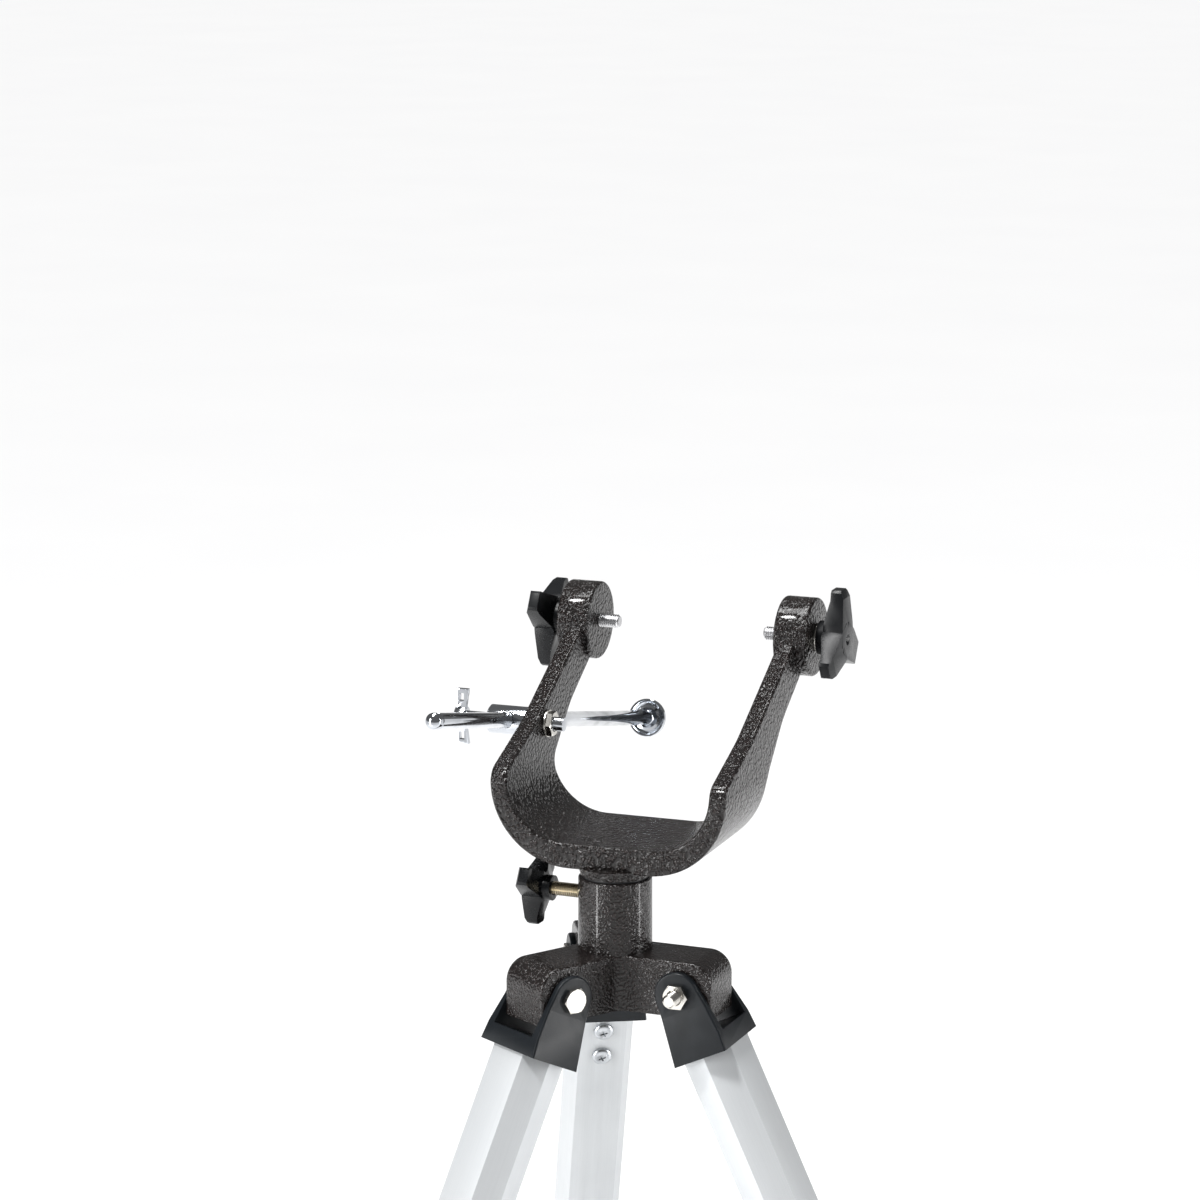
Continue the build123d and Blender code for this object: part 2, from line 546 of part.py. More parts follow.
# ---- leg pieces ------------------------------------------------------------------------------
# Moulded clevis: two cheeks with an eye, a collar round the tube and a spigot inside it.
with BuildPart() as leg_bracket:
    with BuildSketch(Plane.XZ.offset(-BRACKET_FOOT_HALF)):
        Circle(EYE_RADIUS)
        with BuildLine():
            Polyline(
                (-EYE_RADIUS, 0),
                (BRACKET_INNER, -BRACKET_END),
                (BRACKET_OUTER, -BRACKET_END),
                (BRACKET_OUTER, -BRACKET_FLOOR),
                (EYE_RADIUS * 0.96, 2.8),
                close=True,
            )
        make_face()
    extrude(amount=2 * BRACKET_FOOT_HALF)
    with BuildSketch(Plane.YZ.offset(-20)):
        with BuildLine():
            Polyline(
                (-BRACKET_CHEEK, EYE_RADIUS + 1),
                (-BRACKET_CHEEK, -BRACKET_FLARE),
                (-BRACKET_FOOT_HALF, -BRACKET_END),
                (BRACKET_FOOT_HALF, -BRACKET_END),
                (BRACKET_CHEEK, -BRACKET_FLARE),
                (BRACKET_CHEEK, EYE_RADIUS + 1),
                close=True,
            )
        make_face()
    extrude(amount=40, mode=Mode.INTERSECT)
    outer_faces = leg_bracket.faces().sort_by(lambda f: abs(f.center().Y))[-4:]
    fillet(outer_faces.edges().filter_by(lambda e: e.center().Z > -BRACKET_END + 1), 0.9)
    with BuildSketch(Plane.XY.offset(-BRACKET_FLOOR)):
        Rectangle(60, 2 * BRACKET_GAP)
    extrude(amount=40, mode=Mode.SUBTRACT)
    hex_prism(UPPER_LEG_TOP, BRACKET_END + 1, 0.1, Mode.SUBTRACT)
    hex_prism(UPPER_LEG_TOP, SPIGOT_END, -LEG_SHELL - 0.1)
    hex_prism(UPPER_LEG_TOP + 3, SPIGOT_END + 1, -LEG_SHELL - 3.5, Mode.SUBTRACT)
    eye_start = Plane.XZ.offset(-BRACKET_FOOT_HALF)
    rod_along(eye_start, M6_RADIUS + RUNNING_FIT, 2 * BRACKET_FOOT_HALF, Mode.SUBTRACT)
    for along in BRACKET_SCREWS:
        tapping_start = Plane((-LEG_DEPTH, 0, -along), (0, 1, 0), (1, 0, 0))
        rod_along(tapping_start, TAPPING_RADIUS, LEG_DEPTH, Mode.SUBTRACT)

with BuildPart() as bracket_screws:
    for along in BRACKET_SCREWS:
        screw_seat = Plane((-LEG_DEPTH / 2, 0, -along), (0, 1, 0), (1, 0, 0))
        rod_along(screw_seat, TAPPING_RADIUS, TAPPING_LENGTH)
        rod_along(screw_seat, TAPPING_HEAD_RADIUS, -TAPPING_HEAD_HEIGHT)
    crowns = bracket_screws.edges().filter_by(GeomType.CIRCLE).group_by(Axis.X)[0]
    fillet(crowns, 0.75 * TAPPING_HEAD_HEIGHT)

# Upper tube, drilled on its inner flat for the two bracket screws.
with BuildPart() as upper_leg:
    hex_prism(UPPER_LEG_TOP, UPPER_LEG_END, 0.0)
    hex_prism(UPPER_LEG_TOP, UPPER_LEG_END, -LEG_SHELL, Mode.SUBTRACT)
    for along in BRACKET_SCREWS:
        tapping_start = Plane((-LEG_DEPTH, 0, -along), (0, 1, 0), (1, 0, 0))
        rod_along(tapping_start, TAPPING_RADIUS, LEG_DEPTH, Mode.SUBTRACT)

# Lower tube slides in the upper one, on a nylon guide plugged into its top end.
lower_inset = LEG_SHELL + LEG_GAP
with BuildPart() as lower_leg:
    hex_prism(LOWER_LEG_TOP, LOWER_LEG_END, -lower_inset)
    hex_prism(LOWER_LEG_TOP, LOWER_LEG_END, -lower_inset - LEG_SHELL, Mode.SUBTRACT)

with BuildPart() as lower_leg_guide:
    hex_prism(LOWER_LEG_TOP - GUIDE_FLANGE, LOWER_LEG_TOP, -LEG_SHELL - 0.08)
    hex_prism(LOWER_LEG_TOP, LOWER_LEG_TOP + GUIDE_PLUG, -lower_inset - LEG_SHELL)
    hex_prism(LOWER_LEG_TOP - 20, LOWER_LEG_TOP + 30, -lower_inset - 3.5, Mode.SUBTRACT)

# Moulded collar on the end of the upper tube, with a boss for the lock screw.
with BuildPart() as leg_lock_collar:
    hex_prism(COLLAR_TOP, COLLAR_END, COLLAR_WALL)
    fillet(leg_lock_collar.edges().filter_by(Axis.Z), 2.0)
    fillet(leg_lock_collar.faces().filter_by(Axis.Z).edges(), 0.8)
    lock_line = Plane((LEG_DEPTH / 2, 0, -LOCK_AT), (0, 1, 0), (1, 0, 0))
    rod_along(lock_line, LOCK_BOSS, COLLAR_WALL + LOCK_BOSS_HEIGHT)
    hex_prism(COLLAR_TOP, UPPER_LEG_END, 0.0, Mode.SUBTRACT)
    hex_prism(UPPER_LEG_END, COLLAR_END, -LEG_SHELL, Mode.SUBTRACT)
    rod_along(lock_line.offset(-3), M6_RADIUS + RUNNING_FIT, 20, Mode.SUBTRACT)

lock_hub_out = COLLAR_WALL + LOCK_BOSS_HEIGHT + 1.0
lock_tip = lock_line.offset(-lower_inset + 0.1)
with BuildPart() as leg_lock_screw:
    rod_along(lock_tip, M6_RADIUS, lock_hub_out + lower_inset - 0.1 + 6.0)

# Rubber foot: a sleeve over the end of the lower tube, drawn in to a ball.
with BuildPart() as foot:
    hex_prism(SLEEVE_TOP, SLEEVE_END, -lower_inset + 1.6)
    fillet(foot.edges().filter_by(Axis.Z), 1.5)
    with BuildSketch(Plane.XY.offset(-SLEEVE_END)) as sleeve_end:
        add(foot.faces().sort_by(Axis.Z)[0])
    with BuildSketch(Plane.XY.offset(-FOOT_REACH)) as ball_middle:
        Circle(FOOT_BALL)
    loft([sleeve_end.sketch.faces()[0], ball_middle.sketch.faces()[0]])
    with Locations((0, 0, -FOOT_REACH)):
        Sphere(FOOT_BALL)
    hex_prism(SLEEVE_TOP, LOWER_LEG_END, -lower_inset, Mode.SUBTRACT)

# ---- folding brace ---------------------------------------------------------------------------
# Each arm runs from a pin on the central hub out to a pin in the clip on its leg.
tilt = radians(LEG_TILT)
clip_pin_out = HINGE_RADIUS + CLIP_AT * sin(tilt) - CLIP_INSET * cos(tilt)
clip_pin_up = PIER_TOP - HINGE_DROP - CLIP_AT * cos(tilt) - CLIP_INSET * sin(tilt)
ARM_LENGTH = hypot(clip_pin_out - HUB_PIN_RADIUS, HUB_Z - clip_pin_up)
ARM_DROP = degrees(atan2(HUB_Z - clip_pin_up, clip_pin_out - HUB_PIN_RADIUS))

ear_outline = [
    (-LEG_DEPTH / 2, -CLIP_AT + CLIP_HALF_HEIGHT - 1),
    (-LEG_DEPTH / 2, -CLIP_AT - CLIP_HALF_HEIGHT + 1),
    (-CLIP_INSET - 3, -CLIP_AT - EAR_RADIUS),
    (-CLIP_INSET - EAR_RADIUS, -CLIP_AT - 3),
    (-CLIP_INSET - EAR_RADIUS, -CLIP_AT + 3),
    (-CLIP_INSET - 3, -CLIP_AT + EAR_RADIUS),
]
clip_pin_line = Plane((-CLIP_INSET, -EAR_OUTER - 0.1, -CLIP_AT), (1, 0, 0), (0, 1, 0))
with BuildPart() as brace_clip:
    hex_prism(CLIP_AT - CLIP_HALF_HEIGHT, CLIP_AT + CLIP_HALF_HEIGHT, CLIP_WALL)
    for low in (-EAR_OUTER, EAR_INNER):
        across_bar(ear_outline, low, low + EAR_OUTER - EAR_INNER)
    hex_prism(CLIP_AT - 20, CLIP_AT + 20, 0.0, Mode.SUBTRACT)
    rod_along(clip_pin_line, BRACE_PIN, 2 * EAR_OUTER + 0.2, Mode.SUBTRACT)

with BuildPart() as brace_clip_pin:
    rod_along(clip_pin_line.offset(0.1), BRACE_PIN, 2 * EAR_OUTER)
    rod_along(clip_pin_line.offset(0.1), PIN_HEAD, -PIN_HEAD_HEIGHT)
    rod_along(clip_pin_line.offset(0.1 + 2 * EAR_OUTER), PIN_HEAD, PIN_HEAD_HEIGHT)

# Arm in its own frame: hub pin at the origin, x out along the arm.  The outer eye is a slot.
with BuildPart() as brace_arm:
    with BuildSketch(Plane.XZ.offset(-BRACE_THICKNESS / 2)):
        with Locations((ARM_LENGTH / 2, 0)):
            SlotCenterToCenter(ARM_LENGTH, BRACE_WIDTH)
        Circle(BRACE_PIN + RUNNING_FIT, mode=Mode.SUBTRACT)
        with Locations((ARM_LENGTH - SLOT_PLAY / 2 + 0.25, SLOT_SHIFT)):
            SlotCenterToCenter(SLOT_PLAY - 0.5, 2 * SLOT_RADIUS, mode=Mode.SUBTRACT)
    extrude(amount=BRACE_THICKNESS)
    chamfer(brace_arm.faces().filter_by(Axis.Y).edges().filter_by(Axis.X), 0.5)


def spoke_plane(azimuth, out=0.0, drop=0.0):
    """Plane at the height of the hub pins: x out along a leg's azimuth, tipped down by `drop`."""
    outward = Vector(cos(radians(azimuth)), sin(radians(azimuth)), 0)
    down = radians(drop)
    return Plane(
        origin=outward * out + Vector(0, 0, HUB_Z),
        x_dir=outward * cos(down) - Vector(0, 0, sin(down)),
        z_dir=outward * sin(down) + Vector(0, 0, cos(down)),
    )


hub_ear_outline = [
    (HUB_RADIUS - 3, -HUB_HALF_HEIGHT),
    (HUB_PIN_RADIUS + 3, -EAR_RADIUS),
    (HUB_PIN_RADIUS + EAR_RADIUS, -3),
    (HUB_PIN_RADIUS + EAR_RADIUS, 3),
    (HUB_PIN_RADIUS + 3, EAR_RADIUS),
    (HUB_RADIUS - 3, HUB_HALF_HEIGHT),
]
hub_pin_line = Plane((HUB_PIN_RADIUS, -EAR_OUTER, 0), (1, 0, 0), (0, 1, 0))
with BuildPart() as hub_ears:
    for low in (-EAR_OUTER, EAR_INNER):
        across_bar(hub_ear_outline, low, low + EAR_OUTER - EAR_INNER)
    rod_along(hub_pin_line, BRACE_PIN, 2 * EAR_OUTER, Mode.SUBTRACT)
with BuildPart() as hub_pin:
    rod_along(hub_pin_line, BRACE_PIN, 2 * EAR_OUTER)
    rod_along(hub_pin_line, PIN_HEAD, -PIN_HEAD_HEIGHT)
    rod_along(hub_pin_line.offset(2 * EAR_OUTER), PIN_HEAD, PIN_HEAD_HEIGHT)

spokes = [spoke_plane(azimuth) for azimuth in head_azimuths]
with BuildPart() as brace_hub:
    rod_along(Plane.XY.offset(HUB_Z - HUB_HALF_HEIGHT), HUB_RADIUS, 2 * HUB_HALF_HEIGHT)
    with Locations(*spokes):
        add(hub_ears.part)
    rod_along(Plane.XY.offset(HUB_Z - HUB_HALF_HEIGHT), 3.3, 2 * HUB_HALF_HEIGHT, Mode.SUBTRACT)
save(brace_hub.part, "brace_hub")

with BuildPart() as brace_hub_pins:
    with Locations(*spokes):
        add(hub_pin.part)
save(brace_hub_pins.part, "brace_hub_pins")

# ---- the three legs --------------------------------------------------------------------------
leg_pieces = {
    "leg_bracket": leg_bracket,
    "bracket_screws": bracket_screws,
    "upper_leg": upper_leg,
    "lower_leg": lower_leg,
    "lower_leg_guide": lower_leg_guide,
    "leg_lock_collar": leg_lock_collar,
    "leg_lock_screw": leg_lock_screw,
    "foot": foot,
    "brace_clip": brace_clip,
    "brace_clip_pin": brace_clip_pin,
}
for leg, azimuth in LEG_AZIMUTHS.items():
    placed = leg_planes[leg].location
    for piece_name, piece in leg_pieces.items():
        save(placed * piece.part, f"{piece_name}_{leg}")
    lock_hub = lock_line.offset(lock_hub_out)
    lock_plane = Plane(
        origin=leg_planes[leg].from_local_coords(lock_hub.origin),
        x_dir=leg_planes[leg].y_dir,
        z_dir=leg_planes[leg].x_dir,
    )
    clamping_knob(lock_plane, *LOCK_KNOB, M6_RADIUS, f"leg_lock_knob_{leg}")
    arm_plane = spoke_plane(azimuth, HUB_PIN_RADIUS, ARM_DROP)
    save(arm_plane.location * brace_arm.part, f"brace_arm_{leg}")
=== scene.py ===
import json
import math

import bpy
from mathutils import Matrix, Vector


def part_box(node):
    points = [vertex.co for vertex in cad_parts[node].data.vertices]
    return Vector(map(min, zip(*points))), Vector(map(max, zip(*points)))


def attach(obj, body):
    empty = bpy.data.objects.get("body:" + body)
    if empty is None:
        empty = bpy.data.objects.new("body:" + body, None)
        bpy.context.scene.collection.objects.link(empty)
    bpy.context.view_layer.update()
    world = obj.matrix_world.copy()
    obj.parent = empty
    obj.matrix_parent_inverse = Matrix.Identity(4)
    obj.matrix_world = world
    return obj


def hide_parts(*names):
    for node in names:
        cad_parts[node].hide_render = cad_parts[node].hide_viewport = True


# An alt-azimuth mount on its folding stand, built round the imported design.  Each section
# finishes one piece, or one group of like pieces, in the order in which they are put together.

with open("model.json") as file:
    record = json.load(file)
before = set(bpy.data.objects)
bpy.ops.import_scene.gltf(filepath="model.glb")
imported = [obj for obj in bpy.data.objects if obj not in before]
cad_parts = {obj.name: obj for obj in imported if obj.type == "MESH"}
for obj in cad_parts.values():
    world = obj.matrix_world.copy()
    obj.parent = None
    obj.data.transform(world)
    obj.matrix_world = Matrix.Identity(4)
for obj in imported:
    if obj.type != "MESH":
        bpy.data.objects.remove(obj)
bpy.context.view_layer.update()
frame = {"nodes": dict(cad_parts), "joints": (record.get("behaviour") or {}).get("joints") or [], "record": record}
MM = 0.001
LEGS = ("left", "right", "rear")

# ---- Yoke casting ----------------------------------------------------------------------------
# A gravity casting in aluminium, fettled by hand, so its edges are soft.  It is sprayed with
# hammertone enamel, which dries in glossy brown-black pebbles a millimetre or two across.


class Wire:
    """One output of a shader node.  Arithmetic on wires and numbers adds Math nodes."""

    def __init__(self, tree, socket):
        self.tree = tree
        self.socket = socket

    def maths(self, operation, *operands):
        step = self.tree.nodes.new("ShaderNodeMath")
        step.operation = operation
        for slot, operand in zip(step.inputs, operands):
            if isinstance(operand, Wire):
                self.tree.links.new(operand.socket, slot)
            else:
                slot.default_value = operand
        return Wire(self.tree, step.outputs[0])

    def __add__(self, other):
        return self.maths("ADD", self, other)

    def __radd__(self, other):
        return self.maths("ADD", other, self)

    def __sub__(self, other):
        return self.maths("SUBTRACT", self, other)

    def __rsub__(self, other):
        return self.maths("SUBTRACT", other, self)

    def __mul__(self, other):
        return self.maths("MULTIPLY", self, other)

    def __rmul__(self, other):
        return self.maths("MULTIPLY", other, self)

    def __pow__(self, other):
        return self.maths("POWER", self, other)


# The sockets of a Mix node share their names between types, so its colour sockets go by number.
MIX_COLOR_A = 6
MIX_COLOR_B = 7
MIX_COLOR_RESULT = 2
NOISE_COLOR = 1


class Finish:
    """A surface finish: one Principled shader, and the nodes that vary it over the piece."""

    def __init__(self, name, **sockets):
        self.material = bpy.data.materials.new(name)
        self.material.use_nodes = True
        self.tree = self.material.node_tree
        self.shader = self.tree.nodes["Principled BSDF"]
        for socket, value in sockets.items():
            self.shader.inputs[socket.replace("_", " ")].default_value = value
        self.place = self.node("TexCoord", output="Object")

    def node(self, kind, settings=None, inputs=None, output=0):
        made = self.tree.nodes.new("ShaderNode" + kind)
        for setting, value in (settings or {}).items():
            setattr(made, setting, value)
        for socket, value in (inputs or {}).items():
            if isinstance(value, Wire):
                self.tree.links.new(value.socket, made.inputs[socket])
            else:
                made.inputs[socket].default_value = value
        return Wire(self.tree, made.outputs[output])

    def noise(self, scale, detail=2.0, vector=None):
        """Noise from 0 to 1; `scale` is in cells to the metre."""
        inputs = {"Vector": vector or self.place, "Scale": scale, "Detail": detail}
        return self.node("TexNoise", inputs=inputs)

    def mix(self, factor, first, second):
        """Colour between two others."""
        inputs = {"Factor": factor, MIX_COLOR_A: first, MIX_COLOR_B: second}
        return self.node("Mix", {"data_type": "RGBA"}, inputs, output=MIX_COLOR_RESULT)

    def ramp(self, value, low, high, start=0.0, end=1.0):
        """Number that goes from `start` to `end` while `value` goes from `low` to `high`."""
        inputs = {"Value": value, "From Min": low, "From Max": high}
        inputs.update({"To Min": start, "To Max": end})
        return self.node("MapRange", {"interpolation_type": "SMOOTHSTEP"}, inputs)

    def feed(self, socket, wire):
        self.tree.links.new(wire.socket, self.shader.inputs[socket])

    def relief(self, height, depth, strength=1.0):
        """Bump the surface by a height from 0 to 1, `depth` metres deep."""
        inputs = {"Height": height, "Distance": depth, "Strength": strength}
        self.feed("Normal", self.node("Bump", inputs=inputs))


def hammertone(name, pebble, depth):
    """Hammer-finish enamel: `pebble` cells to the metre, `depth` metres of relief."""
    paint = Finish(name, Coat_Weight=0.15, Coat_Roughness=0.04, Specular_IOR_Level=0.3)
    wander = {"Vector": paint.place, "Scale": pebble * 0.7}
    drift = paint.node("TexNoise", inputs=wander, output=NOISE_COLOR)
    shifted = paint.node(
        "VectorMath",
        {"operation": "MULTIPLY_ADD"},
        {0: drift, 1: (0.9 / pebble,) * 3, 2: paint.place},
    )
    cells = paint.node(
        "TexVoronoi",
        {"feature": "SMOOTH_F1"},
        {"Vector": shifted, "Scale": pebble, "Smoothness": 0.55},
    )
    domes = 1.0 - paint.ramp(cells, 0.1, 0.75)
    peel = paint.noise(pebble * 0.35, 1.0)
    speck = paint.noise(pebble * 4.0, 2.0)
    patch = paint.ramp(paint.noise(35.0, 2.0), 0.35, 0.7)
    tone = domes * 0.6 + speck * 0.4
    dark = (0.007, 0.0055, 0.0052, 1.0)
    pale = (0.02, 0.0145, 0.0135, 1.0)
    paint.feed("Base Color", paint.mix(paint.ramp(tone, 0.3, 1.0), dark, pale))
    paint.feed("Roughness", 0.13 + 0.1 * (1.0 - domes) + 0.05 * patch)
    paint.feed("Metallic", paint.ramp(speck, 0.55, 0.85, 0.0, 0.3))
    paint.relief(domes * 0.78 + peel * 0.16 + speck * 0.06, depth)
    return paint.material


body_of = {
    node: body
    for body, members in frame["record"]["behaviour"]["bodies"].items()
    for node in members
}


def only(piece):
    """Deselect everything, then select `piece` and make it active."""
    bpy.ops.object.select_all(action="DESELECT")
    piece.select_set(True)
    bpy.context.view_layer.objects.active = piece
    return piece


def soften(piece, edge, segments=2, sharp=32.0):
    """Round every edge sharper than `sharp` degrees by `edge` metres, then smooth the rest."""
    only(piece)
    rounding = piece.modifiers.new("Rounding", "BEVEL")
    rounding.width = edge
    rounding.segments = segments
    rounding.limit_method = "ANGLE"
    rounding.angle_limit = math.radians(sharp)
    rounding.harden_normals = False
    rounding.use_clamp_overlap = True
    bpy.ops.object.modifier_apply(modifier=rounding.name)
    bpy.ops.object.shade_smooth_by_angle(angle=math.radians(35))
    return piece


def from_design(node, name):
    """A copy of a design node, its loose triangles welded into one skin of whole faces."""
    design = frame["nodes"][node]
    piece = bpy.data.objects.new(name, design.data.copy())
    piece.data.name = name
    bpy.context.scene.collection.objects.link(piece)
    only(piece)
    bpy.ops.mesh.customdata_custom_splitnormals_clear()
    bpy.ops.object.mode_set(mode="EDIT")
    bpy.ops.mesh.select_all(action="SELECT")
    bpy.ops.mesh.remove_doubles(threshold=2e-6)
    bpy.ops.mesh.dissolve_limited(angle_limit=math.radians(0.3))
    bpy.ops.object.mode_set(mode="OBJECT")
    return piece


def fit_for(piece, node, material):
    """Give a finished piece its material, and let it stand for a design node."""
    piece.data.materials.clear()
    piece.data.materials.append(material)
    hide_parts(node)
    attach(piece, body_of[node])
    return piece


casting_paint = hammertone("hammertone_enamel", pebble=600.0, depth=0.001)
yoke = from_design("yoke", "yoke_casting")
only(yoke)
bpy.ops.object.shade_smooth_by_angle(angle=math.radians(30))
fit_for(yoke, "yoke", casting_paint)

# ---- Tripod head casting ---------------------------------------------------------------------
# The second casting: pier, three arms and the webs between them, in the same enamel.  Its
# pebbles are finer, because the coat on it is thinner.
head_paint = hammertone("hammertone_enamel_fine", pebble=880.0, depth=0.00034)
head = from_design("tripod_head", "tripod_head_casting")
only(head)
bpy.ops.object.shade_smooth_by_angle(angle=math.radians(30))
fit_for(head, "tripod_head", head_paint)

# ---- Azimuth bearing -------------------------------------------------------------------------
# A turned steel spindle hangs from the yoke in a bronze bush, with a nylon ring between the
# two castings.  A plated washer and an M8 bolt under the head keep it in.


def turned_metal(name, color, roughness, rings=2600.0):
    """Metal from a lathe: very fine rings along the piece, and slight stains."""
    metal = Finish(name, Metallic=1.0)
    stain = metal.ramp(metal.noise(160.0, 3.0), 0.3, 0.75)
    worn = tuple(0.8 * part for part in color[:3]) + (1.0,)
    metal.feed("Base Color", metal.mix(stain, color, worn))
    fine = metal.noise(rings, 1.0)
    metal.feed("Roughness", roughness + 0.1 * stain + 0.06 * fine)
    metal.relief(fine, 1e-5, 0.6)
    return metal.material


def moulded_plastic(name, color, pale, roughness, grain, depth):
    """Moulded plastic or rubber: a spark-eroded grain, `pale` where handling has rubbed it."""
    plastic = Finish(name, Specular_IOR_Level=0.2)
    grit = plastic.noise(grain, 2.0)
    rubbed = plastic.ramp(plastic.noise(60.0, 4.0), 0.45, 0.8)
    plastic.feed("Base Color", plastic.mix(rubbed * 0.6, color, pale))
    plastic.feed("Roughness", roughness + 0.1 * rubbed + 0.05 * grit)
    plastic.relief(grit, depth, 0.7)
    return plastic.material


bronze = turned_metal("bearing_bronze", (0.62, 0.4, 0.17, 1.0), 0.3)
steel = turned_metal("turned_steel", (0.6, 0.6, 0.61, 1.0), 0.28)
nickel = turned_metal("bright_nickel", (0.62, 0.6, 0.56, 1.0), 0.15)
nylon = moulded_plastic(
    "black_nylon",
    color=(0.012, 0.012, 0.013, 1.0),
    pale=(0.025, 0.025, 0.026, 1.0),
    roughness=0.42,
    grain=1800.0,
    depth=2e-5,
)
bearing = {
    "azimuth_spindle": (steel, 0.2),
    "azimuth_bush": (bronze, 0.25),
    "thrust_washer": (nylon, 0.1),
    "spindle_washer": (nickel, 0.25),
}
for node, (material, edge) in bearing.items():
    piece = from_design(node, node + "_finished")
    fit_for(soften(piece, edge * MM), node, material)


def turned(name, profile, steps=64):
    """Spin a profile of (radius, height) points, in millimetres, about the z axis."""
    bpy.ops.object.select_all(action="DESELECT")
    bpy.ops.mesh.primitive_plane_add(size=0.001, location=(0, 0, 0))
    piece = bpy.context.object
    piece.name = name
    bpy.ops.object.mode_set(mode="EDIT")
    bpy.ops.mesh.select_all(action="SELECT")
    bpy.ops.mesh.merge(type="CENTER")
    radius, height = profile[0]
    bpy.ops.transform.translate(value=(radius * MM, 0, height * MM))
    for (radius, height), (past_radius, past_height) in zip(profile[1:], profile):
        step = ((radius - past_radius) * MM, 0, (height - past_height) * MM)
        bpy.ops.mesh.extrude_region_move(TRANSFORM_OT_translate={"value": step})
    bpy.ops.mesh.select_all(action="SELECT")
    bpy.ops.mesh.spin(steps=steps, angle=2 * math.pi, center=(0, 0, 0), axis=(0, 0, 1))
    bpy.ops.mesh.select_all(action="SELECT")
    bpy.ops.mesh.remove_doubles(threshold=1e-6)
    bpy.ops.mesh.normals_make_consistent(inside=False)
    bpy.ops.object.mode_set(mode="OBJECT")
    bpy.ops.object.shade_smooth_by_angle(angle=math.radians(28))
    return piece


def set_at(piece, origin, along, across=None):
    """Stand a piece made about z at `origin`, its z axis along `along`, and apply the move."""
    up = Vector(along).normalized()
    side = Vector(across) if across else up.orthogonal()
    side = (side - up * side.dot(up)).normalized()
    turn = Matrix((side, up.cross(side), up)).transposed().to_4x4()
    piece.matrix_world = Matrix.Translation(Vector(origin)) @ turn
    only(piece)
    bpy.ops.object.transform_apply(location=True, rotation=True, scale=True)
    return piece


def cut(piece, tool, operation="DIFFERENCE"):
    """Cut a piece with a tool, and throw the tool away."""
    only(piece)
    step = piece.modifiers.new("Cut", "BOOLEAN")
    step.operation = operation
    step.object = tool
    bpy.ops.object.modifier_apply(modifier=step.name)
    bpy.data.objects.remove(tool)
    return piece


def joined(pieces):
    """Several meshes made one."""
    only(pieces[0])
    for piece in pieces[1:]:
        piece.select_set(True)
    bpy.ops.object.join()
    return pieces[0]


def hex_blank(name, across, height, faces=2):
    """Hexagonal blank about z from 0 to `height` mm, its corners turned off at one or both ends.

    The turning tool overruns the ends and stands a little askew, so that none of its faces or
    edges lies in one of the blank's.
    """
    bpy.ops.object.select_all(action="DESELECT")
    corner = across / math.sqrt(3)
    bpy.ops.mesh.primitive_cylinder_add(
        vertices=6, radius=corner * MM, depth=height * MM, location=(0, 0, height * MM / 2)
    )
    blank = bpy.context.object
    blank.name = name
    clear = corner + 0.2
    flat = across / 2 * 0.985
    drop = (corner - flat) * 0.6
    overrun = 0.5
    narrow = flat - overrun * (clear - flat) / drop
    foot = drop if faces == 2 else 0.0
    low_edge = narrow if faces == 2 else clear
    disc = [(0, -overrun), (low_edge, -overrun), (clear, foot)]
    disc += [(clear, height - drop), (narrow, height + overrun), (0, height + overrun)]
    tool = turned("turning_tool", disc, 70)
    askew = 1.3
    tool.rotation_euler = (0, 0, math.radians(askew))
    return cut(blank, tool, "INTERSECT")


THREAD_DEPTH = 0.54


def thread_profile(radius, start, end, pitch):
    """Profile points of a vee thread, drawn as rings, from `start` to `end` mm."""
    points = []
    depth = THREAD_DEPTH * pitch
    height = start
    while height + pitch <= end + 1e-6:
        points += [(radius - depth, height), (radius, height + 0.42 * pitch)]
        points += [(radius, height + 0.58 * pitch)]
        height += pitch
    return points + [(radius - depth, min(height, end))]


ACROSS_M6 = 10.0
ACROSS_M8 = 13.0
M8_RADIUS = 4.0
M8_PITCH = 1.25
washer_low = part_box("spindle_washer")[0]
bolt_low, bolt_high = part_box("spindle_bolt")
head_height = (washer_low.z - bolt_low.z) / MM
bolt_head = hex_blank("spindle_bolt_finished", ACROSS_M8, head_height)
shank_length = (bolt_high.z - bolt_low.z) / MM
buried = head_height - 0.5
shank = [(0, buried), (M8_RADIUS - THREAD_DEPTH * M8_PITCH, buried)]
shank += thread_profile(M8_RADIUS, head_height, shank_length - 1.0, M8_PITCH)
shank += [(M8_RADIUS - 1.0, shank_length), (0, shank_length)]
bolt = joined([bolt_head, turned("shank", shank, 48)])
set_at(bolt, (0, 0, bolt_low.z), (0, 0, 1), (1, 0, 0))
fit_for(bolt, "spindle_bolt", nickel)

# ---- Clamping knobs and their studs ----------------------------------------------------------
# Three-lobed knobs moulded in gloss black plastic on to M6 steel studs.  Two clamp the
# altitude axis, one the azimuth axis, and three the lower legs.
knob_plastic = moulded_plastic(
    "gloss_knob_plastic",
    color=(0.005, 0.0056, 0.0065, 1.0),
    pale=(0.012, 0.0125, 0.0135, 1.0),
    roughness=0.25,
    grain=1500.0,
    depth=2e-5,
)
knob_nodes = ["altitude_knob_left", "altitude_knob_right", "clamp_knob"]
knob_nodes += [f"leg_lock_knob_{leg}" for leg in LEGS]
for node in knob_nodes:
    knob = from_design(node, node + "_moulding")
    fit_for(soften(knob, 0.5 * MM, segments=3, sharp=18.0), node, knob_plastic)

joint_at = {joint["child"]: joint for joint in frame["joints"]}


